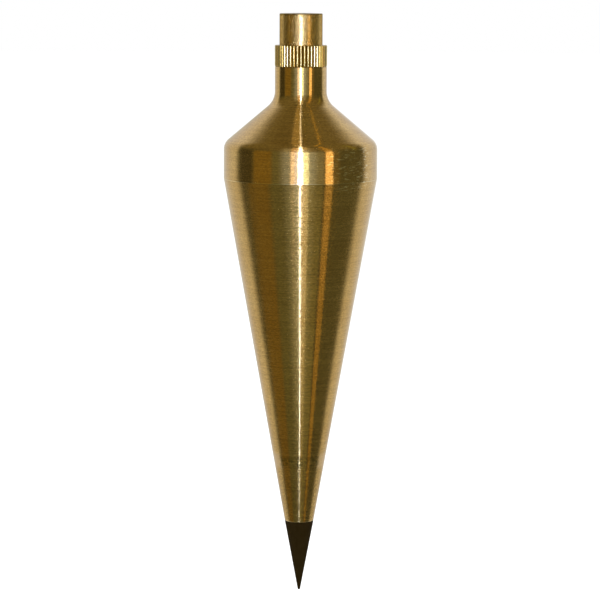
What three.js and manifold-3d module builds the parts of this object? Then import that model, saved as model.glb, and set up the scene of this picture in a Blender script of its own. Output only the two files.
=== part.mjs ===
// A turned brass plumb bob with a screw cap and a screw-in steel point.
// Millimetres, +Z up. The origin is the tip of the point, on the bob's axis.

import * as THREE from 'three';
import { mergeVertices, toCreasedNormals } from 'three/addons/utils/BufferGeometryUtils.js';
import Module from 'manifold-3d';

// Heights above the tip. The corners of the shoulder are given as if they were sharp.
const POINT_TOP = 17.5;
const BAND_BOTTOM = 102;
const BAND_TOP = 110.55;
const NECK_BOTTOM = 120.95;
const NECK_TOP = 129.1;
const KNURL_TOP = 134.2;
const CROWN_TOP = 141.8;

// Outside radii, and the roundings between them.
const TIP_RADIUS = 0.27;
const POINT_RADIUS = 3.55;
const BAND_RADIUS = 18.6;
const NECK_RADIUS = 6.28;
const KNURL_RADIUS = 6.32;
const CROWN_RADIUS = 5.2;
const SHOULDER_ROUNDING = 3.2;
const NECK_FILLET = 4.7;
const EDGE_BREAK = 0.12;
const CROWN_CHAMFER = 0.25;

// Straight knurl round the cap: one flat crest and one flat root to each tooth.
const KNURL_TEETH = 44;
const KNURL_DEPTH = 0.36;
const KNURL_CHAMFER = 0.15;
const CREST_SHARE = 0.26;
const ROOT_SHARE = 0.1;

// Cap thread, 24 to the inch, and the bore in the neck that takes it.
const CAP_THREAD = { major: 4.7, pitch: 1.058 };
const CAP_SHANK_LENGTH = 8;
const CAP_RELIEF = { radius: 4.05, length: 1 };
const CAP_BORE = { radius: 4.78, depth: 10.5, mouth: 0.35 };
const KNOT_CAVITY = { radius: 4.1, depth: 19 };

// Cord passage through the cap, and the pocket that takes the knot.
const CORD_RADIUS = 1.2;
const CORD_MOUTH = 0.6;
const KNOT_POCKET = { radius: 3, depth: 6 };

// Point thread, 32 to the inch, and the hole in the body that takes it.
const POINT_THREAD = { major: 2.08, pitch: 0.794 };
const STUD_LENGTH = 6.5;
const STUD_RELIEF = { radius: 1.6, length: 0.8 };
const POINT_HOLE = { radius: 2.14, depth: 8.2, mouth: 0.3 };

// Fits and facets.
const SEAT_GAP = 0.03;
const THREAD_LEAD_IN = 0.5;
const DRILL_HALF_ANGLE = THREE.MathUtils.degToRad(59);
const ROUND_SEGMENTS = 72;
const THREAD_SEGMENTS = 36;
const CORNER_STEPS = 7;
const OVERLAP = 1;
const CREASE_ANGLE = THREE.MathUtils.degToRad(25);

// A 60 degree thread: how far along its pitch the root (0) and the crest (1) start and end.
const THREAD_FORM = [
  { along: 0, height: 0 },
  { along: 0.25, height: 0 },
  { along: 0.5625, height: 1 },
  { along: 0.6875, height: 1 },
];
const THREAD_DEPTH_TO_PITCH = 0.541;

const solids = await Module();
solids.setup();

/** A geometry as a boolean solid, with its shared vertices joined. */
function toSolid(geometry) {
  const bare = geometry.clone();
  bare.deleteAttribute('normal');
  bare.deleteAttribute('uv');
  const welded = mergeVertices(bare, 1e-5);
  const vertProperties = Float32Array.from(welded.attributes.position.array);
  const triVerts = Uint32Array.from(welded.index.array);
  return new solids.Manifold(new solids.Mesh({ numProp: 3, vertProperties, triVerts }));
}

/** A boolean solid as a geometry. */
function toGeometry(solid) {
  const mesh = solid.getMesh();
  const geometry = new THREE.BufferGeometry();
  geometry.setAttribute('position', new THREE.BufferAttribute(mesh.vertProperties, mesh.numProp));
  geometry.setIndex(new THREE.BufferAttribute(mesh.triVerts, 1));
  return geometry;
}

/** An outline of [radius, height] points, spun round the Z axis. */
function turned(outline) {
  const points = outline.map(([radius, height]) => new THREE.Vector2(radius, height));
  return new THREE.LatheGeometry(points, ROUND_SEGMENTS).rotateX(Math.PI / 2);
}

/** The arc that rounds the corner where two straight runs of an outline meet. */
function roundedCorner(before, corner, after, radius) {
  const sharp = new THREE.Vector2(...corner);
  const back = new THREE.Vector2(...before).sub(sharp).normalize();
  const ahead = new THREE.Vector2(...after).sub(sharp).normalize();
  const halfAngle = Math.acos(back.dot(ahead)) / 2;
  const inward = back.clone().add(ahead).normalize();
  const centre = sharp.clone().addScaledVector(inward, radius / Math.sin(halfAngle));
  const tangentLength = radius / Math.tan(halfAngle);
  const start = sharp.clone().addScaledVector(back, tangentLength).sub(centre);
  const end = sharp.clone().addScaledVector(ahead, tangentLength).sub(centre);
  const sweep = Math.atan2(start.cross(end), start.dot(end));
  const points = [];
  for (let step = 0; step <= CORNER_STEPS; step += 1) {
    const angle = (sweep * step) / CORNER_STEPS;
    const spoke = start.clone().rotateAround(new THREE.Vector2(), angle);
    points.push(spoke.add(centre).toArray());
  }
  return points;
}

/** Length of the cone that a drill leaves at the end of its hole. */
function drillTip(radius) {
  return radius / Math.tan(DRILL_HALF_ANGLE);
}

/**
 * A right-hand threaded rod. Each point of the thread form draws one helical line, strips join
 * each line to the next, and the strip after the last line meets the first line a turn higher.
 */
function threadedRod(thread, bottom, top) {
  const depth = THREAD_DEPTH_TO_PITCH * thread.pitch;
  const turns = Math.ceil((top - bottom) / thread.pitch) + 1;
  const lineSteps = (turns + 1) * THREAD_SEGMENTS + 1;
  const positions = [];
  for (const { along, height } of THREAD_FORM) {
    const radius = thread.major - depth * (1 - height);
    for (let step = 0; step < lineSteps; step += 1) {
      const turn = step / THREAD_SEGMENTS;
      const angle = 2 * Math.PI * turn;
      const rise = thread.pitch * (turn + along);
      positions.push(radius * Math.cos(angle), radius * Math.sin(angle), bottom + rise);
    }
  }
  const lowCentre = positions.length / 3;
  const highCentre = lowCentre + 1;
  positions.push(0, 0, bottom);
  positions.push(0, 0, bottom + thread.pitch * (turns + 1));

  const lines = THREAD_FORM.length;
  const point = (line, step) => (
    line < lines ? line * lineSteps + step : step + THREAD_SEGMENTS
  );
  const lastStep = turns * THREAD_SEGMENTS;
  const triangles = [];
  for (let line = 0; line < lines; line += 1) {
    for (let step = 0; step < lastStep; step += 1) {
      const [a, b] = [point(line, step), point(line, step + 1)];
      const [c, d] = [point(line + 1, step + 1), point(line + 1, step)];
      triangles.push(a, b, c, a, c, d);
    }
  }
  triangles.push(...fan(lowCentre, rodEnd(point, 0).reverse()));
  triangles.push(...fan(highCentre, rodEnd(point, lastStep)));

  const geometry = new THREE.BufferGeometry();
  geometry.setAttribute('position', new THREE.Float32BufferAttribute(positions, 3));
  geometry.setIndex(triangles);
  return geometry;
}

/** The open edge at a rod's end: once round the first line, then back down the thread form. */
function rodEnd(point, firstStep) {
  const edge = [];
  for (let step = 0; step <= THREAD_SEGMENTS; step += 1) {
    edge.push(point(0, firstStep + step));
  }
  for (let line = THREAD_FORM.length - 1; line > 0; line -= 1) {
    edge.push(point(line, firstStep));
  }
  return edge;
}

/** Triangles from a centre to each side of a closed edge. */
function fan(centre, edge) {
  return edge.flatMap((vertex, place) => [centre, vertex, edge[(place + 1) % edge.length]]);
}

/** A threaded rod trimmed to its turned blank. */
function threadedShank(thread, blank, bottom, top) {
  const rod = toSolid(threadedRod(thread, bottom - thread.pitch, top + thread.pitch));
  return rod.intersect(toSolid(turned(blank)));
}

/** Outline of a shank's blank: chamfered end, full diameter, then a relief up to its seat. */
function shankBlank(thread, relief, near, far, inside) {
  const away = Math.sign(far - near);
  const rim = thread.major;
  const outline = [
    [0, inside],
    [relief.radius, inside],
    [relief.radius, near + away * relief.length],
    [rim, near + away * (relief.length + rim - relief.radius)],
    [rim, far - away * THREAD_LEAD_IN],
    [rim - THREAD_LEAD_IN, far],
    [0, far],
  ];
  return away > 0 ? outline : outline.reverse();
}

/** The knurl's section across the axis. */
function knurlSection() {
  const root = KNURL_RADIUS - KNURL_DEPTH;
  const corners = [
    { share: -CREST_SHARE / 2, radius: KNURL_RADIUS },
    { share: CREST_SHARE / 2, radius: KNURL_RADIUS },
    { share: 0.5 - ROOT_SHARE / 2, radius: root },
    { share: 0.5 + ROOT_SHARE / 2, radius: root },
  ];
  const points = [];
  for (let tooth = 0; tooth < KNURL_TEETH; tooth += 1) {
    for (const { share, radius } of corners) {
      const angle = (2 * Math.PI * (tooth + share)) / KNURL_TEETH;
      points.push(new THREE.Vector2(radius * Math.cos(angle), radius * Math.sin(angle)));
    }
  }
  return new THREE.Shape(points);
}

/** The knurled flange, with the ends of its teeth chamfered. */
function knurledFlange(bottom, top) {
  const height = top - bottom;
  const prism = new THREE.ExtrudeGeometry(knurlSection(), { depth: height, bevelEnabled: false });
  prism.translate(0, 0, bottom);
  const end = KNURL_RADIUS - KNURL_CHAMFER;
  const reach = height / 2;
  const chamfers = turned([
    [0, bottom],
    [end, bottom],
    [end + reach, bottom + reach],
    [end, top],
    [0, top],
  ]);
  return toSolid(prism).intersect(toSolid(chamfers));
}

/** The cord hole with its flared mouth, and the wider knot pocket below it. */
function cordPassage(bottom) {
  const pocketTop = bottom + KNOT_POCKET.depth;
  return turned([
    [0, bottom - OVERLAP],
    [KNOT_POCKET.radius, bottom - OVERLAP],
    [KNOT_POCKET.radius, pocketTop],
    [CORD_RADIUS, pocketTop + drillTip(KNOT_POCKET.radius - CORD_RADIUS)],
    [CORD_RADIUS, CROWN_TOP - CORD_MOUTH],
    [CORD_RADIUS + CORD_MOUTH + OVERLAP, CROWN_TOP + OVERLAP],
    [0, CROWN_TOP + OVERLAP],
  ]);
}

/** The screw cap: smooth crown, knurled flange and hollow threaded shank in one piece. */
function screwCap() {
  const seat = NECK_TOP + SEAT_GAP;
  const shankEnd = NECK_TOP - CAP_SHANK_LENGTH;
  const crown = turned([
    [0, KNURL_TOP - OVERLAP],
    [CROWN_RADIUS, KNURL_TOP - OVERLAP],
    [CROWN_RADIUS, CROWN_TOP - CROWN_CHAMFER],
    [CROWN_RADIUS - CROWN_CHAMFER, CROWN_TOP],
    [0, CROWN_TOP],
  ]);
  const blank = shankBlank(CAP_THREAD, CAP_RELIEF, seat, shankEnd, seat + OVERLAP);
  const shank = threadedShank(CAP_THREAD, blank, shankEnd, seat + OVERLAP);
  return toGeometry(
    toSolid(crown)
      .add(knurledFlange(seat, KNURL_TOP))
      .add(shank)
      .subtract(toSolid(cordPassage(shankEnd))),
  );
}

/** The weighted body: point hole, long cone, band, shoulder, neck and cap bore. */
function bobBody() {
  const foot = POINT_TOP + SEAT_GAP;
  const holeTop = foot + POINT_HOLE.depth;
  const boreEnd = NECK_TOP - CAP_BORE.depth;
  const cavityEnd = NECK_TOP - KNOT_CAVITY.depth;
  const bandFoot = [BAND_RADIUS, BAND_BOTTOM];
  const shoulderLow = [BAND_RADIUS, BAND_TOP];
  const shoulderHigh = [NECK_RADIUS, NECK_BOTTOM];
  const neckRim = [NECK_RADIUS, NECK_TOP - EDGE_BREAK];
  return turned([
    [0, holeTop + drillTip(POINT_HOLE.radius)],
    [POINT_HOLE.radius, holeTop],
    [POINT_HOLE.radius, foot + POINT_HOLE.mouth],
    [POINT_HOLE.radius + POINT_HOLE.mouth, foot],
    [POINT_RADIUS - EDGE_BREAK, foot],
    [POINT_RADIUS, foot + EDGE_BREAK],
    bandFoot,
    ...roundedCorner(bandFoot, shoulderLow, shoulderHigh, SHOULDER_ROUNDING),
    ...roundedCorner(shoulderLow, shoulderHigh, neckRim, NECK_FILLET),
    neckRim,
    [NECK_RADIUS - EDGE_BREAK, NECK_TOP],
    [CAP_BORE.radius + CAP_BORE.mouth, NECK_TOP],
    [CAP_BORE.radius, NECK_TOP - CAP_BORE.mouth],
    [CAP_BORE.radius, boreEnd],
    [KNOT_CAVITY.radius, boreEnd - (CAP_BORE.radius - KNOT_CAVITY.radius)],
    [KNOT_CAVITY.radius, cavityEnd],
    [0, cavityEnd - drillTip(KNOT_CAVITY.radius)],
  ]);
}

/** The hardened point: a slim cone with a blunted tip and a threaded stud on top. */
function steelPoint() {
  const studEnd = POINT_TOP + STUD_LENGTH;
  const cone = turned([
    [0, 0],
    [TIP_RADIUS / 2, 0],
    [TIP_RADIUS, TIP_RADIUS / 2],
    [POINT_RADIUS, POINT_TOP - EDGE_BREAK],
    [POINT_RADIUS - EDGE_BREAK, POINT_TOP],
    [0, POINT_TOP],
  ]);
  const blank = shankBlank(POINT_THREAD, STUD_RELIEF, POINT_TOP, studEnd, POINT_TOP - OVERLAP);
  const stud = threadedShank(POINT_THREAD, blank, POINT_TOP - OVERLAP, studEnd);
  return toGeometry(toSolid(cone).add(stud));
}

/** A named piece of the bob in its material. */
function piece(name, geometry, material) {
  const mesh = new THREE.Mesh(toCreasedNormals(geometry, CREASE_ANGLE), material);
  mesh.name = name;
  return mesh;
}

const turnedBrass = new THREE.MeshStandardMaterial({
  color: 0xb8924a,
  roughness: 0.3,
  metalness: 1,
});
const blackenedSteel = new THREE.MeshStandardMaterial({
  color: 0x2b2119,
  roughness: 0.45,
  metalness: 0.9,
});

const plumbBob = new THREE.Group();
plumbBob.add(piece('screw_cap', screwCap(), turnedBrass));
plumbBob.add(piece('bob_body', bobBody(), turnedBrass));
plumbBob.add(piece('steel_point', steelPoint(), blackenedSteel));

export default plumbBob;
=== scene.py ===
"""A turned brass plumb bob with a knurled screw cap and a blackened steel point.

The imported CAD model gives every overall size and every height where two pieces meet.
Each piece is rebuilt here as one fine closed surface and rides on its CAD body. A plain studio
round them gives the brass something to mirror.
"""

import math

import bpy
import numpy as np
from mathutils import Matrix, Vector


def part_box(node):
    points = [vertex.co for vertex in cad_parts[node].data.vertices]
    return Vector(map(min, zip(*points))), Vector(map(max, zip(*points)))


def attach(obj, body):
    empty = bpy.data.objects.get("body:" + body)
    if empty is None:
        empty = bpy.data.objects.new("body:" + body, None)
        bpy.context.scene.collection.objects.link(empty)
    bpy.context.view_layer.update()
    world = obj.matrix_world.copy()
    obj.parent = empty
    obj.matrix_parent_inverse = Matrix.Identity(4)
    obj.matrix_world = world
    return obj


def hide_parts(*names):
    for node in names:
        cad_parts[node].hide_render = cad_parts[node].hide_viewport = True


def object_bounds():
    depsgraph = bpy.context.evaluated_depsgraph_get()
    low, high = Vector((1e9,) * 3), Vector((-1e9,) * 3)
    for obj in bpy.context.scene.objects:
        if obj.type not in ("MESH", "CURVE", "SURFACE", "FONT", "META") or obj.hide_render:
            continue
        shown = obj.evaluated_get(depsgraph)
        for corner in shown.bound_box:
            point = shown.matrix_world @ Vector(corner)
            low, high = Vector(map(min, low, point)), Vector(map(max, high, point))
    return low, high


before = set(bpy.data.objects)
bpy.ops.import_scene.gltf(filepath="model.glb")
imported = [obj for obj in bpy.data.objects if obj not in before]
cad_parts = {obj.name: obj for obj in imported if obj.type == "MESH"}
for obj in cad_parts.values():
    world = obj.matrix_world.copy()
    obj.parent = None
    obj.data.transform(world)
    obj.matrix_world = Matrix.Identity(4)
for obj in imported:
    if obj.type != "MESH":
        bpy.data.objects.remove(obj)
cad_low, cad_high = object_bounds()

MM = 0.001

# Where the pieces meet, and the largest radii, from the CAD nodes.
BODY_LOW, BODY_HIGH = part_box("bob_body")
CAP_LOW, CAP_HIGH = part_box("screw_cap")
POINT_LOW, POINT_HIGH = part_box("steel_point")
FOOT = BODY_LOW.z
NECK_TOP = BODY_HIGH.z
CROWN_TOP = CAP_HIGH.z
SHANK_END = CAP_LOW.z
TIP = POINT_LOW.z
STUD_END = POINT_HIGH.z
BAND_RADIUS = BODY_HIGH.x
KNURL_RADIUS = CAP_HIGH.x
POINT_RADIUS = POINT_HIGH.x

# The body's own shape. The shoulder's corners are given as if they were sharp.
BAND_BOTTOM = 102.0 * MM
BAND_TOP = 110.55 * MM
NECK_BOTTOM = 120.95 * MM
NECK_RADIUS = 6.28 * MM
SHOULDER_ROUNDING = 3.2 * MM
NECK_FILLET = 4.7 * MM
EDGE_BREAK = 0.12 * MM

# The gap where the cap and the point seat on the body, and the point's blunted tip.
SEAT_GAP = 0.03 * MM
TIP_RADIUS = 0.27 * MM
TIP_ROUNDING = 0.6 * TIP_RADIUS

# The cap's own shape.
CROWN_RADIUS = 5.2 * MM
CROWN_CHAMFER = 0.12 * MM
KNURL_TOP = 134.2 * MM
KNURL_TEETH = 44
KNURL_CHAMFER = 0.15 * MM
KNURL_FLANK = math.radians(52)
CREST_FLAT = 0.03 * MM
CREST_CORNER = math.radians(22)
CREST_ROUNDING = 0.85 * MM

# Threads, and the holes they run in. A relief is a radius and a length, and a cavity or pocket
# a radius and a depth. The thread's form goes through shares of a pitch, from root to crest.
CAP_THREAD = {"major": 4.7 * MM, "pitch": 1.058 * MM}
POINT_THREAD = {"major": 2.08 * MM, "pitch": 0.794 * MM}
THREAD_DEPTH_TO_PITCH = 0.541
THREAD_SHARES = (0, 0.25, 0.5625, 0.6875, 1.0)
THREAD_HEIGHTS = (0, 0, 1, 1, 0)
THREAD_CLEARANCE = 0.06 * MM
THREAD_ROWS_PER_PITCH = 10
LEAD_IN = 0.5 * MM
CAP_RELIEF = (4.05 * MM, 1.0 * MM)
STUD_RELIEF = (1.6 * MM, 0.8 * MM)
CAP_BORE_DEPTH = 10.5 * MM
CAP_BORE_MOUTH = 0.35 * MM
KNOT_CAVITY = (4.1 * MM, 19.0 * MM)
POINT_HOLE_DEPTH = 8.2 * MM
POINT_HOLE_MOUTH = 0.3 * MM
DRILL_HALF_ANGLE = math.radians(59)
CORD_RADIUS = 1.2 * MM
CORD_MOUTH = 0.6 * MM
KNOT_POCKET = (3.0 * MM, 6.0 * MM)

# How finely each piece is turned.
BODY_COLUMNS = 192
COLUMNS_PER_TOOTH = 16
CAP_COLUMNS = KNURL_TEETH * COLUMNS_PER_TOOTH
POINT_COLUMNS = 96
CORNER_STEPS = 14
EDGE_STEPS = 4
CHAMFER_STEPS = 4
SHARP_ANGLE = math.radians(28)


# ---------------------------------------------------------------- outlines

def arc_corner(before, corner, after, radius, steps=CORNER_STEPS):
    """Points of the arc that rounds the corner between two straight runs of an outline."""
    sharp = Vector(corner)
    back = (Vector(before) - sharp).normalized()
    ahead = (Vector(after) - sharp).normalized()
    half = back.angle(ahead) / 2
    centre = sharp + (back + ahead).normalized() * (radius / math.sin(half))
    reach = radius / math.tan(half)
    start = sharp + back * reach - centre
    end = sharp + ahead * reach - centre
    sweep = math.atan2(start.x * end.y - start.y * end.x, start.dot(end))
    points = []
    for step in range(steps + 1):
        turn = Matrix.Rotation(sweep * step / steps, 2)
        points.append(tuple(centre + turn @ start))
    return points


def broken_edge(before, corner, after, size=EDGE_BREAK):
    """A small rounding in place of a sharp outside edge."""
    return arc_corner(before, corner, after, size, EDGE_STEPS)


def drill_tip(radius):
    """Depth of the cone that a drill leaves at the end of a hole, or between two radii."""
    return radius / math.tan(DRILL_HALF_ANGLE)


# ---------------------------------------------------------------- rings

def ring(radius, height):
    """One round ring of an outline."""
    return {"height": height, "radius": lambda angles: np.full(len(angles), radius)}


def rings(points):
    """A round ring for each point of an outline."""
    return [ring(radius, height) for radius, height in points]


def thread_form(phase):
    """Height of a 60 degree thread, from root 0 to crest 1, along one pitch."""
    return np.interp(phase % 1.0, THREAD_SHARES, THREAD_HEIGHTS)


def thread_radius(thread, height, angles):
    """Radius of a right-hand thread's surface all round one height."""
    depth = THREAD_DEPTH_TO_PITCH * thread["pitch"]
    phase = height / thread["pitch"] - angles / (2 * math.pi)
    return thread["major"] - depth * (1 - thread_form(phase))


def thread_rings(thread, heights, blank, inside=False):
    """Rings of a thread limited by its turned blank, or by its bored hole when inside."""
    made = []
    for height in heights:
        def radius(angles, height=height):
            surface = thread_radius(thread, height, angles)
            if inside:
                return np.maximum(surface + THREAD_CLEARANCE, blank(height))
            return np.minimum(surface, blank(height))
        made.append({"height": height, "radius": radius})
    return made


def spaced(start, end, step):
    """Heights from start to end, both included, about one step apart."""
    count = max(2, int(round(abs(end - start) / step)) + 1)
    return [start + (end - start) * k / (count - 1) for k in range(count)]


def knurl_radius(angles):
    """Radius of the knurl: each tooth has a narrow flat crest, rounded sides and a sharp root."""
    pitch = 2 * math.pi * KNURL_RADIUS / KNURL_TEETH
    share = np.abs((angles * KNURL_TEETH / (2 * math.pi) + 0.5) % 1.0 - 0.5)
    off_flat = np.maximum(share * pitch - CREST_FLAT, 0.0)
    arc_start = CREST_ROUNDING * math.sin(CREST_CORNER)
    arc_end = CREST_ROUNDING * math.sin(KNURL_FLANK)
    on_arc = np.minimum(off_flat + arc_start, arc_end)
    arc_top = CREST_ROUNDING * math.cos(CREST_CORNER)
    arc_drop = arc_top - np.sqrt(CREST_ROUNDING ** 2 - on_arc ** 2)
    flank_drop = np.maximum(off_flat + arc_start - arc_end, 0.0) * math.tan(KNURL_FLANK)
    return KNURL_RADIUS - arc_drop - flank_drop


def knurl_rings(low, high):
    """Rings of the knurl, with the ends of its teeth chamfered."""
    inset = [KNURL_CHAMFER * step / CHAMFER_STEPS for step in range(CHAMFER_STEPS + 1)]
    heights = [low + depth for depth in inset] + [high - depth for depth in reversed(inset)]
    made = []
    for height in heights:
        from_end = min(height - low, high - height)
        limit = KNURL_RADIUS - KNURL_CHAMFER + from_end

        def radius(angles, limit=limit):
            return np.minimum(knurl_radius(angles), limit)
        made.append({"height": height, "radius": radius})
    return made


# ---------------------------------------------------------------- meshes

def turned_mesh(name, ring_list, columns, low_pole=None, high_pole=None):
    """A closed surface through rings, ending in poles on the axis or joined into a loop."""
    angles = np.linspace(0, 2 * math.pi, columns, endpoint=False)
    grid = []
    for item in ring_list:
        radii = item["radius"](angles)
        heights = np.full(columns, item["height"])
        grid.append(np.stack([radii * np.cos(angles), radii * np.sin(angles), heights], 1))
    points = [tuple(p) for p in np.concatenate(grid)]
    count = len(ring_list)
    loop = low_pole is None
    faces = []
    for row in range(count if loop else count - 1):
        upper = (row + 1) % count
        for column in range(columns):
            beside = (column + 1) % columns
            faces.append((
                row * columns + column,
                row * columns + beside,
                upper * columns + beside,
                upper * columns + column,
            ))
    if not loop:
        first, last = len(points), len(points) + 1
        points += [(0, 0, low_pole), (0, 0, high_pole)]
        base = (count - 1) * columns
        for column in range(columns):
            beside = (column + 1) % columns
            faces.append((first, beside, column))
            faces.append((last, base + column, base + beside))
    mesh = bpy.data.meshes.new(name)
    mesh.from_pydata(points, [], faces)
    mesh.update()
    for polygon in mesh.polygons:
        polygon.use_smooth = True
    mesh.set_sharp_from_angle(angle=SHARP_ANGLE)
    piece = bpy.data.objects.new(name, mesh)
    bpy.context.scene.collection.objects.link(piece)
    return piece


def make_body():
    """Neck, shoulder, band and long cone, with the threaded bore above and hole below."""
    foot_rim = (POINT_RADIUS, FOOT)
    band_foot = (BAND_RADIUS, BAND_BOTTOM)
    band_head = (BAND_RADIUS, BAND_TOP)
    neck_foot = (NECK_RADIUS, NECK_BOTTOM)
    neck_rim = (NECK_RADIUS, NECK_TOP)
    hole_top = FOOT + POINT_HOLE_DEPTH
    bore_end = NECK_TOP - CAP_BORE_DEPTH
    cavity_radius, cavity_depth = KNOT_CAVITY
    cavity_end = NECK_TOP - cavity_depth

    hole_root = POINT_THREAD["major"] + THREAD_CLEARANCE
    hole_minor = hole_root - THREAD_DEPTH_TO_PITCH * POINT_THREAD["pitch"]
    bore_root = CAP_THREAD["major"] + THREAD_CLEARANCE
    bore_minor = bore_root - THREAD_DEPTH_TO_PITCH * CAP_THREAD["pitch"]

    def hole_blank(height):
        return hole_root + POINT_HOLE_MOUTH - (height - FOOT)

    def bore_blank(height):
        return bore_root + CAP_BORE_MOUTH - (NECK_TOP - height)

    hole_step = POINT_THREAD["pitch"] / THREAD_ROWS_PER_PITCH
    bore_step = CAP_THREAD["pitch"] / THREAD_ROWS_PER_PITCH
    outline = rings([(hole_minor, hole_top)])
    outline += thread_rings(
        POINT_THREAD, spaced(hole_top - hole_step, FOOT, hole_step), hole_blank, inside=True
    )
    outline += rings(
        broken_edge((hole_root, FOOT), foot_rim, band_foot)
        + broken_edge(foot_rim, band_foot, band_head)
        + arc_corner(band_foot, band_head, neck_foot, SHOULDER_ROUNDING)
        + arc_corner(band_head, neck_foot, neck_rim, NECK_FILLET)
        + broken_edge(neck_foot, neck_rim, (bore_root, NECK_TOP))
    )
    outline += thread_rings(
        CAP_THREAD, spaced(NECK_TOP, bore_end, bore_step), bore_blank, inside=True
    )
    outline += rings([
        (bore_minor, bore_end - bore_step),
        (cavity_radius, bore_end - 2 * bore_step),
        (cavity_radius, cavity_end),
    ])
    low = hole_top + drill_tip(hole_minor)
    high = cavity_end - drill_tip(cavity_radius)
    return turned_mesh("brass_body", outline, BODY_COLUMNS, low, high)


def make_cap():
    """Crown, knurled flange and hollow threaded shank, drilled through for the cord."""
    seat = NECK_TOP + SEAT_GAP
    relief_radius, relief_length = CAP_RELIEF
    relief_end = seat - relief_length
    pocket_radius, pocket_depth = KNOT_POCKET
    pocket_top = SHANK_END + pocket_depth
    cone_top = pocket_top + drill_tip(pocket_radius - CORD_RADIUS)

    def blank(height):
        lead = CAP_THREAD["major"] - LEAD_IN + (height - SHANK_END)
        neck = relief_radius + max(0.0, relief_end - height)
        return min(lead, neck)

    step = CAP_THREAD["pitch"] / THREAD_ROWS_PER_PITCH
    outline = thread_rings(CAP_THREAD, spaced(SHANK_END, relief_end, step), blank)
    outline += rings([(relief_radius, seat)])
    outline += knurl_rings(seat, KNURL_TOP)
    crown_foot = (CROWN_RADIUS, KNURL_TOP)
    crown_rim = (CROWN_RADIUS, CROWN_TOP)
    outline += rings(
        [crown_foot, (CROWN_RADIUS, CROWN_TOP - CROWN_CHAMFER),
         (CROWN_RADIUS - CROWN_CHAMFER, CROWN_TOP)]
        + arc_corner(crown_rim, (CORD_RADIUS, CROWN_TOP), (CORD_RADIUS, cone_top), CORD_MOUTH)
        + [
            (CORD_RADIUS, cone_top),
            (pocket_radius, pocket_top),
            (pocket_radius, SHANK_END),
        ]
    )
    return turned_mesh("brass_cap", outline, CAP_COLUMNS)


def make_point():
    """Slim cone with a blunted tip and a threaded stud on top."""
    top = FOOT - SEAT_GAP
    relief_radius, relief_length = STUD_RELIEF
    relief_end = top + relief_length

    def blank(height):
        lead = POINT_THREAD["major"] - LEAD_IN + (STUD_END - height)
        neck = relief_radius + max(0.0, height - relief_end)
        return min(lead, neck)

    step = POINT_THREAD["pitch"] / THREAD_ROWS_PER_PITCH
    rim = (POINT_RADIUS, top)
    tip_edge = (TIP_RADIUS, TIP)
    outline = rings(
        arc_corner((0, TIP), tip_edge, rim, TIP_ROUNDING, EDGE_STEPS)
        + broken_edge(tip_edge, rim, (relief_radius, top))
        + [(relief_radius, top)]
    )
    outline += thread_rings(POINT_THREAD, spaced(relief_end, STUD_END, step), blank)
    return turned_mesh("steel_tip", outline, POINT_COLUMNS, TIP, STUD_END)


# ---------------------------------------------------------------- node helpers

class Nodes:
    """Short calls for building a node tree."""

    def __init__(self, tree):
        self.tree = tree
        tree.nodes.clear()

    def new(self, kind, inputs=None, **settings):
        node = self.tree.nodes.new(kind)
        for key, value in settings.items():
            setattr(node, key, value)
        for key, value in (inputs or {}).items():
            self.feed(node.inputs[key], value)
        return node

    def feed(self, socket, value):
        if isinstance(value, bpy.types.NodeSocket):
            self.tree.links.new(value, socket)
        else:
            socket.default_value = value

    def math(self, operation, *values):
        node = self.new("ShaderNodeMath", operation=operation)
        for socket, value in zip(node.inputs, values):
            self.feed(socket, value)
        return node.outputs[0]

    def total(self, first, *others):
        for other in others:
            first = self.math("ADD", first, other)
        return first

    def product(self, first, *others):
        for other in others:
            first = self.math("MULTIPLY", first, other)
        return first

    def gap(self, value, mark):
        """How far a value is from a mark, either way."""
        return self.math("ABSOLUTE", self.math("SUBTRACT", value, mark))

    def vector(self, operation, *values, output="Vector"):
        node = self.new("ShaderNodeVectorMath", operation=operation)
        for socket, value in zip(node.inputs, values):
            self.feed(socket, value)
        return node.outputs[output]

    def along(self, vector, direction):
        """How far a vector reaches along a direction."""
        return self.vector("DOT_PRODUCT", vector, direction, output="Value")

    def smooth(self, value, low, high, at_low=0.0, at_high=1.0):
        """A smooth step of value from at_low to at_high. Low may be the larger of the two."""
        node = self.new("ShaderNodeMapRange", interpolation_type="SMOOTHSTEP")
        if low > high:
            low, high, at_low, at_high = high, low, at_high, at_low
        for key, number in (
            ("From Min", low), ("From Max", high), ("To Min", at_low), ("To Max", at_high),
        ):
            self.feed(node.inputs[key], number)
        self.feed(node.inputs["Value"], value)
        return node.outputs["Result"]

    def mix(self, share, first, second):
        """A blend of two colours, or of two values."""
        node = self.new("ShaderNodeMix", data_type="RGBA")
        self.feed(node.inputs["Factor"], share)
        self.feed(node.inputs[6], first)
        self.feed(node.inputs[7], second)
        return node.outputs[2]

    def scaled(self, tint, factor):
        node = self.new("ShaderNodeVectorMath", {0: tint, "Scale": factor}, operation="SCALE")
        return node.outputs[0]

    def noise(self, vector, scale, detail=2.0, roughness=0.5):
        node = self.new("ShaderNodeTexNoise", {"Vector": vector, "Scale": scale})
        node.inputs["Detail"].default_value = detail
        node.inputs["Roughness"].default_value = roughness
        return node.outputs["Fac"]

    def ring_noise(self, place, scales, detail, roughness=0.5):
        """Noise squeezed into rings round the axis: its scales round the axis and along it."""
        around, along = scales
        squeezed = self.vector("MULTIPLY", place, (around, around, along))
        return self.noise(squeezed, 1.0, detail, roughness)


def start_material(name):
    """A material with an empty node tree, and the place on the piece to drive its textures."""
    material = bpy.data.materials.new(name)
    material.use_nodes = True
    nodes = Nodes(material.node_tree)
    place = nodes.new("ShaderNodeTexCoord").outputs["Object"]
    return material, nodes, place


def colour(red, green, blue):
    return (red, green, blue, 1.0)


WHITE = colour(1, 1, 1)


# ---------------------------------------------------------------- materials

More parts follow.
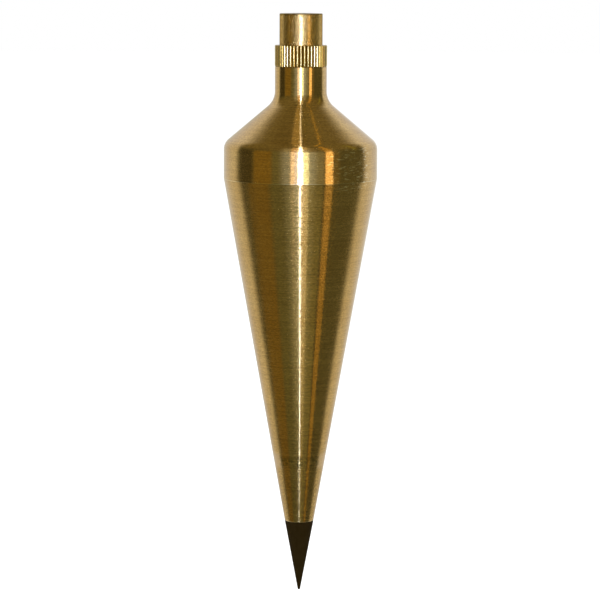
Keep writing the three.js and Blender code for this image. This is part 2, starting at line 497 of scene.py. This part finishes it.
BRASS = colour(0.45, 0.295, 0.10)
BRASS_TARNISHED = colour(0.41, 0.26, 0.083)
BRASS_PALE = colour(0.49, 0.335, 0.125)
# Painted highlight: a pale brass laid on the knurl's crests.
BRASS_CREST_HIGHLIGHT = colour(0.72, 0.57, 0.25)
# Painted shade: a dark brown laid in the knurl's roots.
BRASS_ROOT_SHADE = colour(0.20, 0.125, 0.02)
# Painted highlight: a pale brass laid along the band's lower edge and the foot.
BRASS_EDGE_HIGHLIGHT = colour(0.75, 0.68, 0.45)
BRASS_SCRATCHED = colour(0.86, 0.72, 0.46)
BRASS_DULL = colour(0.17, 0.13, 0.04)
BRASS_BLOOM = colour(0.47, 0.335, 0.175)
# Painted shade: a near black laid on the crown's rim.
BRASS_RIM_SHADE = colour(0.07, 0.05, 0.012)
BRASS_CROWN = colour(0.52, 0.345, 0.122)
GRAZING_TINT = colour(0.88, 0.87, 0.85)
GRAZING_TINT_CROWN = colour(0.45, 0.42, 0.36)
STEEL = colour(0.0136, 0.0080, 0.0015)
STEEL_CLOUDED = colour(0.0166, 0.0104, 0.0027)

# Scales of the textures, in cells to the metre. A pair is round the axis, then along it.
FINE_RINGS = (70, 4200)
BROAD_RINGS = (12, 900)
HATCHING = (1600, 3200)
SCRATCHES = (600, 3600)
GRINDING = (90, 6000)
PATINA = 140
PITS = 3200
MOTTLING = 2300
BLOTCHES = 1300
CLOUDS = 420

# The stretch of a texture's values that most of it falls in, widest first.
WIDE = (0.3, 0.7)
NARROW = (0.35, 0.65)

# How far each texture moves the brightness of the base colour, either way.
HATCH_TONE = 0.11
RING_TONE = 0.09
MOTTLE_TONE = 0.12
SPECKLE_TONE = 0.2

# Heights of the relief: of a texture at full strength, and the strength of each.
GRAIN_HEIGHT = 0.02 * MM
STEEL_GRAIN_HEIGHT = 0.003 * MM
RING_RELIEF = 0.06
MOTTLE_RELIEF = 0.15
BODY_PITS = 0.26
FOOT_PITS = 0.8
CAP_PITS = 0.35
CROWN_PITS = 1.6

# Heights on the body where a finish, a painted shade or a painted highlight starts to show, then
# where it is at its fullest.
# Painted shade: the body's colour darkens towards the foot.
FOOT_SHADE = (50 * MM, 24 * MM)
FOOT_MOTTLE = (40 * MM, 27 * MM)
FOOT_PITTING = (38 * MM, 25 * MM)
FOOT_HIGHLIGHT = (FOOT + 0.28 * MM, FOOT + 0.16 * MM)
BAND_SCUFFS = (BAND_BOTTOM - 4 * MM, BAND_BOTTOM)
CONE_TURNED = (BAND_BOTTOM + 0.2 * MM, BAND_BOTTOM - 0.2 * MM)
SHOULDER_TURNED = (BAND_TOP - 0.5 * MM, BAND_TOP + 1.0 * MM)

# The painted highlight line on the band's lower edge, in distance from the edge.
EDGE_HIGHLIGHT = (0.11 * MM, 0.05 * MM)

# The scuffed patch: which way it faces, and how far out towards it the scuffs run.
SCUFF_BEARING = math.radians(40)
SCUFF_DIRECTION = (math.sin(SCUFF_BEARING), -math.cos(SCUFF_BEARING), 0.0)
SCUFF_REACH = (0.92 * BAND_RADIUS, 0.98 * BAND_RADIUS)

# A dull ring low on the taper, stained in front and bloomed round the sides and back: its
# height, the spread of each from that height, and how far forward of the axis each shows.
FRONT = (0.0, -1.0, 0.0)
DULL_RING = 33 * MM
STAIN_SPREAD = (1.5 * MM, 0.7 * MM)
STAIN_FRONT = (3.4 * MM, 5.0 * MM)
BLOOM_SPREAD = (2.6 * MM, 1.0 * MM)
BLOOM_FRONT = (5.0 * MM, 4.0 * MM)

# On the cap: the step from knurl to crown, the painted shade on the crown's rim, and the painted
# highlights on the knurl's crests and painted shade in its roots.
CROWN_STARTS = (KNURL_TOP - 0.1 * MM, KNURL_TOP + 0.1 * MM)
KNURL_STARTS = (NECK_TOP - 0.2 * MM, NECK_TOP)
CROWN_RIM_SHADE = (CROWN_TOP - 0.42 * MM, CROWN_TOP - 0.30 * MM)
CREST_HIGHLIGHT = (KNURL_RADIUS - 0.20 * MM, KNURL_RADIUS - 0.08 * MM)
ROOT_SHADE = (KNURL_RADIUS - 0.11 * MM, KNURL_RADIUS - 0.21 * MM)


def brass_material(name, finish):
    """Turned brass: highlights drawn out along the axis by fine tool lines round it.

    finish takes the nodes, the place on the piece, the base colour and the textures, and gives
    back the base colour, roughness, anisotropy, grazing tint and the height of the fine relief.
    """
    material, nodes, place = start_material(name)
    fine = nodes.ring_noise(place, FINE_RINGS, 3.0, 0.65)
    broad = nodes.ring_noise(place, BROAD_RINGS, 2.0, 0.55)
    hatch = nodes.ring_noise(place, HATCHING, 1.0)
    patina = nodes.noise(place, PATINA, 4.0, 0.6)
    pits = nodes.noise(place, PITS, 1.0)

    base = nodes.mix(nodes.smooth(patina, 0.35, 0.7), BRASS, BRASS_TARNISHED)
    base = nodes.mix(nodes.smooth(broad, 0.3, 0.75, 0.0, 0.3), base, BRASS_PALE)
    tone = nodes.total(nodes.smooth(hatch, *WIDE, 1 - HATCH_TONE, 1 + HATCH_TONE),
                       nodes.smooth(fine, *WIDE, -RING_TONE, RING_TONE))
    base = nodes.scaled(base, tone)
    looks = finish(nodes, place, base, {"fine": fine, "pits": pits})

    bump = nodes.new("ShaderNodeBump", {
        "Height": looks["relief"], "Strength": 1.0, "Distance": GRAIN_HEIGHT,
    })
    tangent = nodes.new("ShaderNodeTangent", direction_type="RADIAL", axis="Z")
    shader = nodes.new("ShaderNodeBsdfPrincipled", {
        "Base Color": looks["base"],
        "Metallic": 1.0,
        "Specular Tint": looks["grazing"],
        "Roughness": looks["rough"],
        "Anisotropic": looks["anisotropy"],
        "Anisotropic Rotation": 0.25,
        "Tangent": tangent.outputs[0],
        "Normal": bump.outputs[0],
    })
    nodes.new("ShaderNodeOutputMaterial", {"Surface": shader.outputs[0]})
    return material


def scuff(nodes, place, axis, base):
    """Short bright scratches in a patch on one side of the band."""
    out = nodes.smooth(nodes.along(place, SCUFF_DIRECTION), *SCUFF_REACH)
    patch = nodes.product(out, nodes.smooth(axis, *BAND_SCUFFS))
    scratches = nodes.ring_noise(place, SCRATCHES, 1.0)
    scratched = nodes.product(patch, nodes.smooth(scratches, 0.57, 0.72, 0.0, 0.75))
    return nodes.mix(scratched, base, BRASS_SCRATCHED)


def dull_ring(nodes, place, axis, base):
    """A blotchy stain in front and a pale bloom at the sides and back, at one height."""
    from_ring = nodes.gap(axis, DULL_RING)
    forward = nodes.along(place, FRONT)
    bloom = nodes.product(nodes.smooth(from_ring, *BLOOM_SPREAD),
                          nodes.smooth(forward, *BLOOM_FRONT, 0.0, 0.8))
    base = nodes.mix(bloom, base, BRASS_BLOOM)
    blotches = nodes.smooth(nodes.noise(place, BLOTCHES, 2.0, 0.6), 0.42, 0.58)
    stain = nodes.product(nodes.smooth(from_ring, *STAIN_SPREAD), blotches,
                          nodes.smooth(forward, *STAIN_FRONT, 0.0, 0.65))
    return nodes.mix(stain, base, BRASS_DULL)


def body_finish(nodes, place, base, texture):
    """Turned satin with painted highlights on the band's lower edge and at the foot, painted
    shade towards the foot, a scuffed patch on the band and a dull ring low down.
    """
    axis = nodes.new("ShaderNodeSeparateXYZ", {0: place}).outputs["Z"]
    mottle = nodes.smooth(nodes.noise(place, MOTTLING, 1.0), *NARROW, -1.0, 1.0)
    mottle = nodes.product(mottle, nodes.smooth(axis, *FOOT_MOTTLE))

    # Painted shade: the base colour darkens towards the foot.
    base = nodes.scaled(base, nodes.smooth(axis, *FOOT_SHADE, 1.0, 0.83))
    # Painted highlights: thin pale lines along the band's lower edge and just above the foot.
    edge = nodes.smooth(nodes.gap(axis, BAND_BOTTOM), *EDGE_HIGHLIGHT, 0.0, 0.3)
    foot = nodes.smooth(axis, *FOOT_HIGHLIGHT, 0.0, 0.25)
    base = nodes.mix(nodes.math("MAXIMUM", edge, foot), base, BRASS_EDGE_HIGHLIGHT)
    base = nodes.scaled(base, nodes.total(nodes.product(mottle, MOTTLE_TONE), 1.0))
    base = scuff(nodes, place, axis, base)
    base = dull_ring(nodes, place, axis, base)

    rough = nodes.total(
        nodes.smooth(texture["fine"], *WIDE, 0.15, 0.19),
        nodes.smooth(texture["pits"], *NARROW, -0.05, 0.06),
        nodes.product(mottle, -0.05),
        nodes.smooth(axis, *CONE_TURNED, 0.0, -0.03),
    )
    smoother = nodes.smooth(axis, BAND_TOP, NECK_BOTTOM, 0.085, 0.035)
    smoother = nodes.product(nodes.smooth(axis, *SHOULDER_TURNED), smoother)
    rough = nodes.math("SUBTRACT", rough, smoother)

    pitting = nodes.smooth(axis, *FOOT_PITTING, BODY_PITS, FOOT_PITS)
    relief = nodes.total(
        nodes.product(texture["pits"], pitting),
        nodes.product(texture["fine"], RING_RELIEF),
        nodes.product(mottle, MOTTLE_RELIEF),
    )
    return {
        "base": base, "rough": rough, "anisotropy": 0.97, "relief": relief,
        "grazing": GRAZING_TINT,
    }


def cap_finish(nodes, place, base, texture):
    """Duller crown with painted shade on its rim, and a knurl with painted highlights on its
    crests and painted shade in its roots.
    """
    parts = nodes.new("ShaderNodeSeparateXYZ", {0: place}).outputs
    across = nodes.new("ShaderNodeCombineXYZ", {"X": parts["X"], "Y": parts["Y"]}).outputs[0]
    radius = nodes.vector("LENGTH", across, output="Value")
    crown = nodes.smooth(parts["Z"], *CROWN_STARTS)
    knurl = nodes.product(nodes.math("SUBTRACT", 1.0, crown),
                          nodes.smooth(parts["Z"], *KNURL_STARTS))

    # Painted highlight: the knurl's crests are made paler in colour.
    base = nodes.mix(nodes.product(nodes.smooth(radius, *CREST_HIGHLIGHT), knurl), base, BRASS_CREST_HIGHLIGHT)
    # Painted shade: the knurl's roots are darkened.
    base = nodes.mix(nodes.product(nodes.smooth(radius, *ROOT_SHADE), knurl), base, BRASS_ROOT_SHADE)
    # Painted shade: the crown's upper rim and top face are darkened nearly to black.
    base = nodes.mix(nodes.smooth(parts["Z"], *CROWN_RIM_SHADE), base, BRASS_RIM_SHADE)
    base = nodes.mix(nodes.product(crown, 0.5), base, BRASS_CROWN)
    speckle = nodes.smooth(texture["pits"], *WIDE, 1 - SPECKLE_TONE, 1 + SPECKLE_TONE)
    base = nodes.scaled(base, nodes.mix(crown, WHITE, speckle))

    crown_pits = nodes.product(nodes.smooth(texture["pits"], 0.34, 0.54), crown)
    relief = nodes.total(
        nodes.product(texture["fine"], RING_RELIEF),
        nodes.product(texture["pits"], CAP_PITS),
        nodes.product(crown_pits, CROWN_PITS),
    )
    return {
        "base": base,
        "rough": nodes.smooth(crown, 0.0, 1.0, 0.2, 0.25),
        "anisotropy": nodes.smooth(crown, 0.0, 1.0, 0.9, 0.3),
        "relief": relief,
        "grazing": nodes.mix(crown, GRAZING_TINT, GRAZING_TINT_CROWN),
    }


def steel_material():
    """Hardened steel with a matt brown-black oxide skin."""
    material, nodes, place = start_material("blackened_steel")
    grinding = nodes.ring_noise(place, GRINDING, 3.0, 0.6)
    clouds = nodes.noise(place, CLOUDS, 3.0, 0.55)
    bump = nodes.new("ShaderNodeBump", {
        "Height": grinding, "Strength": 0.5, "Distance": STEEL_GRAIN_HEIGHT,
    })
    shader = nodes.new("ShaderNodeBsdfPrincipled", {
        "Base Color": nodes.mix(nodes.smooth(clouds, *WIDE), STEEL, STEEL_CLOUDED),
        "Metallic": 0.0,
        "Roughness": nodes.smooth(grinding, *WIDE, 0.5, 0.62),
        "Specular IOR Level": 0.01,
        "Normal": bump.outputs[0],
    })
    nodes.new("ShaderNodeOutputMaterial", {"Surface": shader.outputs[0]})
    return material


# ---------------------------------------------------------------- studio

# The camera: its height above the tip and distance from the axis in bob lengths, how far it
# looks down, its roll, its lens and sensor in mm, and the limits of its view in bob lengths.
CAMERA_HEIGHT = 1.091
CAMERA_DISTANCE = 4.542
CAMERA_PITCH = math.radians(7.3)
CAMERA_ROLL = math.radians(0.227)
CAMERA_LENS = 159.5
CAMERA_SENSOR = 36
CAMERA_NEAR = 0.05
CAMERA_FAR = 100

# What the brass mirrors. Bearings are degrees round the bob from the camera, positive to the
# camera's right; heights are degrees above the level. Each panel is laid over those before it.
ROOM = colour(0.165, 0.165, 0.09)
TABLE_EDGE = -16
WALL = (TABLE_EDGE, 18)
UPPER = (18, 46)
LOW = (-34, TABLE_EDGE)
UNDER = (-95, TABLE_EDGE)
PANELS = [
    # name, bearings, heights, edge softness (bearing, height), colour
    ("ceiling", (-400, 400), (26, 400), (1, 16), colour(0.29, 0.25, 0.12)),
    ("dark corner", (-103, -77), WALL, (8, 8), colour(0.10, 0.09, 0.045)),
    ("warm wall", (-75, -43), WALL, (7, 8), colour(0.36, 0.255, 0.06)),
    ("warm wall, low", (-91, -50), UNDER, (16, 6), colour(0.28, 0.21, 0.063)),
    ("left wall", (-43, 0), WALL, (8, 8), colour(0.27, 0.275, 0.15)),
    ("left wall, low", (-50, 0), UNDER, (10, 6), colour(0.21, 0.215, 0.11)),
    ("left glow, low", (-19, 0), LOW, (22, 12), colour(0.52, 0.58, 0.54)),
    ("lamp haze, low", (-9, -1), LOW, (2, 12), colour(0.64, 0.74, 0.76)),
    ("left glow", (-27, 0), WALL, (18, 8), colour(0.62, 0.72, 0.92)),
    ("left glow, upper", (-30, 0), UPPER, (16, 14), colour(0.60, 0.60, 0.52)),
    ("left strip, head", (-15, -4), (18, 54), (1, 12), colour(1.3, 0.95, 0.6)),
    ("right strip, head", (4, 13), (18, 58), (1, 12), colour(1.6, 1.4, 0.9)),
    ("right wall, low", (0, 34.5), UNDER, (3, 6), colour(0.30, 0.295, 0.16)),
    ("right haze, low", (0, 20), LOW, (14, 12), colour(0.46, 0.47, 0.36)),
    ("right glow, low", (0, 11.5), LOW, (7, 12), colour(1.10, 0.99, 0.84)),
    ("green wire", (93, 98), (20, 50), (1.5, 10), colour(0.55, 0.55, 0.14)),
    ("orange haze", (50, 60), WALL, (8, 8), colour(0.33, 0.27, 0.12)),
    ("right wall", (0, 35), WALL, (2, 8), colour(0.47, 0.49, 0.40)),
    ("right glow", (0, 22), WALL, (14, 8), colour(0.74, 0.88, 1.15)),
    ("right glow, upper", (0, 22), UPPER, (16, 14), colour(0.58, 0.53, 0.42)),
    ("left strip", (-14.6, -6), WALL, (1, 6), colour(2.7, 2.5, 3.0)),
    ("left strip, inner", (-9, -3), WALL, (2, 6), colour(1.8, 2.0, 3.7)),
    ("right strip", (4, 12.2), WALL, (1, 6), colour(2.75, 3.35, 3.8)),
    ("lamp", (-3.3, 3.2), (-11, 12), (1, 12), colour(19, 22, 36)),
    ("lamp, middle", (-2.2, 2.2), (-11, 44), (1, 14), colour(19, 22, 36)),
    ("lamp, top", (-1.1, 1.1), (-11, 66), (1, 8), colour(16, 18, 28)),
    ("lamp, foot", (-1.3, -0.55), (-42, -11), (0.5, 8), colour(16, 21.5, 42)),
    ("orange strip", (37.7, 49.6), WALL, (1, 6), colour(2.75, 2.0, 1.15)),
    ("orange strip, upper", (38, 50), (18, 60), (2, 14), colour(0.66, 0.44, 0.12)),
    ("orange strip, head", (38, 50), (18, 56), (1, 12), colour(0.85, 0.55, 0.15)),
    ("orange strip, low", (39.3, 51.5), UNDER, (2, 6), colour(0.47, 0.323, 0.095)),
]

# Overhead, the shares of the way from straight up to level on the camera's right.
OVERHEAD = [
    # name, places, edge softness, colour
    ("dim bay", (-0.34, -0.13), 0.06, colour(0.26, 0.22, 0.10)),
    ("warm beam", (-0.115, 0.0), 0.03, colour(0.62, 0.49, 0.24)),
    ("slit", (-0.0005, 0.009), 0.004, colour(5.0, 5.2, 6.4)),
    ("warm wire", (0.243, 0.255), 0.008, colour(1.25, 0.80, 0.17)),
]
OVERHEAD_STARTS = (60, 68)

# The white cove behind the bob: at the level, at its near edges, higher up, and at its shaded
# left end.
COVE = colour(1.01, 1.00, 0.96)
COVE_NEAR = colour(1.17, 1.24, 1.46)
COVE_ABOVE = colour(1.07, 1.08, 1.21)
COVE_SHADED = colour(0.78, 0.76, 0.66)

# The cove's edge, by the share of a direction that points at the camera: 1 is at the camera,
# 0 square to the side and -1 straight away. Below the bend it comes forward by a slope.
COVE_EDGE = -0.41
COVE_EDGE_SOFTNESS = 0.12
COVE_BEND = -0.09
COVE_BEND_SLOPE = 0.64

# Stretches of the upward share of a direction, -1 to 1, over which the cove's edge moves and
# softens, and those of the shares at the camera and upward over which its near edges brighten.
COVE_LOW = (-0.25, -0.1)
COVE_STEP = (-0.075, -0.045)
COVE_HIGH = (0.1, 0.75)
COVE_SOFTENS = (0.4, 0.7)
COVE_NEAR_REACH = (-0.95, -0.7)
COVE_NEAR_STARTS = (-0.3, -0.12)

# In degrees: the cove's upper edge, the climb to its upper colour and its shaded end.
COVE_ENDS = (66, 38)
COVE_CLIMB = (0, 34)
COVE_SHADE = (-152, -176)

# The floor: its radius and its drop below the tip, in bob lengths, and its surface.
FLOOR_RADIUS = 30
FLOOR_DROP = 0.1
FLOOR_SIDES = 128
FLOOR_TINTS = (colour(0.93, 0.93, 0.93), colour(0.95, 0.95, 0.95))
FLOOR_SPECKLE = 900
FLOOR_GLOW = 0.12

# Lamps for the floor, in bob lengths, all aimed at the same height on the axis.
LAMPS = [
    # name, place, size, watts
    ("key", (-3, -3, 6), 3, 3.0),
    ("fill", (4, -2, 5), 3, 2.0),
]
LAMP_AIM = 0.5

DEGREES = 180 / math.pi


def panel_mask(nodes, value, limits, softness):
    """1 between two limits, falling smoothly to 0 just outside them."""
    low, high = limits
    half = softness / 2
    return nodes.product(nodes.smooth(value, low - half, low + half),
                         nodes.smooth(value, high + half, high - half))


def cove_mask(nodes, right, up, towards, rise):
    """1 on the cove and 0 off it.

    The cove curves forward underneath the bob, draws back a little on the camera's right and
    higher up, where its edge is softer, and stops short of the ceiling.
    """
    below_bend = nodes.math("MINIMUM", nodes.total(up, -COVE_BEND), 0.0)
    lopsided = nodes.total(nodes.smooth(up, *COVE_LOW, 0.0, 0.015),
                           nodes.smooth(up, *COVE_HIGH, 0.0, 0.02))
    past_edge = nodes.total(
        towards,
        nodes.product(below_bend, COVE_BEND_SLOPE),
        nodes.product(right, lopsided),
        nodes.smooth(up, *COVE_STEP, 0.0, -0.07),
        nodes.smooth(up, *COVE_HIGH, 0.0, 0.12),
        -COVE_EDGE,
    )
    past_edge = nodes.product(past_edge, nodes.smooth(up, *COVE_SOFTENS, 1.0, 0.5))
    return nodes.product(nodes.smooth(past_edge, COVE_EDGE_SOFTNESS, -COVE_EDGE_SOFTNESS),
                         nodes.smooth(rise, *COVE_ENDS))


def cove_colour(nodes, right, up, towards, bearing, rise):
    """The cove's white, brighter at its near edges and above, and shaded at its left end."""
    white = nodes.mix(nodes.smooth(rise, *COVE_CLIMB), COVE, COVE_ABOVE)
    near = nodes.product(
        nodes.smooth(towards, *COVE_NEAR_REACH),
        nodes.smooth(up, *COVE_NEAR_STARTS),
        nodes.smooth(right, -1, 1, 0.15, 1.0),
    )
    white = nodes.mix(near, white, COVE_NEAR)
    return nodes.mix(nodes.smooth(bearing, *COVE_SHADE), white, COVE_SHADED)


def make_world():
    """White for the eye and for the floor; the strip-lit studio for anything shiny."""
    world = bpy.data.worlds.new("studio")
    bpy.context.scene.world = world
    world.use_nodes = True
    nodes = Nodes(world.node_tree)
    seen = nodes.new("ShaderNodeTexCoord").outputs["Camera"]
    unit = nodes.vector("NORMALIZE", seen)
    level = nodes.new("ShaderNodeVectorRotate", {"Vector": unit, "Angle": CAMERA_PITCH},
                      rotation_type="X_AXIS").outputs[0]
    parts = nodes.new("ShaderNodeSeparateXYZ", {0: level}).outputs
    right, up = parts["X"], parts["Y"]
    towards = nodes.product(parts["Z"], -1.0)
    bearing = nodes.product(nodes.math("ARCTAN2", right, towards), DEGREES)
    rise = nodes.product(nodes.math("ARCSINE", up), DEGREES)

    light = ROOM
    for _, bearings, heights, (across, upward), tint in PANELS:
        mask = nodes.product(panel_mask(nodes, bearing, bearings, across),
                             panel_mask(nodes, rise, heights, upward))
        light = nodes.mix(mask, light, tint)
    overhead = nodes.smooth(rise, *OVERHEAD_STARTS)
    for _, places, softness, tint in OVERHEAD:
        mask = nodes.product(panel_mask(nodes, right, places, softness), overhead)
        light = nodes.mix(mask, light, tint)
    light = nodes.mix(cove_mask(nodes, right, up, towards, rise), light,
                      cove_colour(nodes, right, up, towards, bearing, rise))

    rays = nodes.new("ShaderNodeLightPath").outputs
    shown = nodes.mix(rays["Is Glossy Ray"], WHITE, light)
    background = nodes.new("ShaderNodeBackground", {"Color": shown, "Strength": 1.0})
    nodes.new("ShaderNodeOutputWorld", {"Surface": background.outputs[0]})
    world.cycles.sampling_method = "NONE"


def make_floor(length):
    """A plain pale disc, clear of the point when it is screwed out."""
    bpy.ops.mesh.primitive_circle_add(vertices=FLOOR_SIDES, radius=length * FLOOR_RADIUS,
                                      fill_type="NGON",
                                      location=(0, 0, TIP - FLOOR_DROP * length))
    floor = bpy.context.object
    floor.name = "floor"
    material, nodes, place = start_material("pale_floor")
    shader = nodes.new("ShaderNodeBsdfPrincipled", {
        "Base Color": nodes.mix(nodes.noise(place, FLOOR_SPECKLE), *FLOOR_TINTS),
        "Roughness": 0.9,
        "Specular IOR Level": 0.0,
        "Emission Color": WHITE,
        "Emission Strength": FLOOR_GLOW,
    })
    nodes.new("ShaderNodeOutputMaterial", {"Surface": shader.outputs[0]})
    floor.data.materials.append(material)
    floor.visible_glossy = False


def make_light(name, place, size, power, length):
    """A large soft lamp that lights the floor but isn't mirrored in the brass."""
    data = bpy.data.lights.new(name, "AREA")
    data.shape = "DISK"
    data.size = size * length
    data.energy = power
    lamp = bpy.data.objects.new(name, data)
    lamp.location = [part * length for part in place]
    aim = Vector((0, 0, LAMP_AIM * length))
    lamp.rotation_euler = (aim - lamp.location).to_track_quat("-Z", "Y").to_euler()
    lamp.visible_glossy = False
    bpy.context.scene.collection.objects.link(lamp)


def make_camera(length):
    """The photo's view: a long lens looking slightly down."""
    data = bpy.data.cameras.new("camera")
    data.lens = CAMERA_LENS
    data.sensor_width = CAMERA_SENSOR
    data.clip_start = length * CAMERA_NEAR
    data.clip_end = length * CAMERA_FAR
    camera = bpy.data.objects.new("camera", data)
    camera.location = (0, -CAMERA_DISTANCE * length, TIP + CAMERA_HEIGHT * length)
    look = Matrix.Rotation(math.pi / 2 - CAMERA_PITCH, 4, "X")
    camera.rotation_euler = (look @ Matrix.Rotation(CAMERA_ROLL, 4, "Z")).to_euler()
    bpy.context.scene.collection.objects.link(camera)
    bpy.context.scene.camera = camera


# ---------------------------------------------------------------- scene

body = make_body()
cap = make_cap()
point = make_point()
body.data.materials.append(brass_material("turned_brass_body", body_finish))
cap.data.materials.append(brass_material("turned_brass_cap", cap_finish))
point.data.materials.append(steel_material())

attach(body, "body")
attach(cap, "cap")
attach(point, "point")
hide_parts("bob_body")
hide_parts("screw_cap")
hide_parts("steel_point")

bob_length = cad_high.z - cad_low.z
make_world()
make_floor(bob_length)
for lamp_name, lamp_place, lamp_size, lamp_power in LAMPS:
    make_light(lamp_name, lamp_place, lamp_size, lamp_power, bob_length)
make_camera(bob_length)
bpy.context.scene.view_settings.view_transform = "Standard"
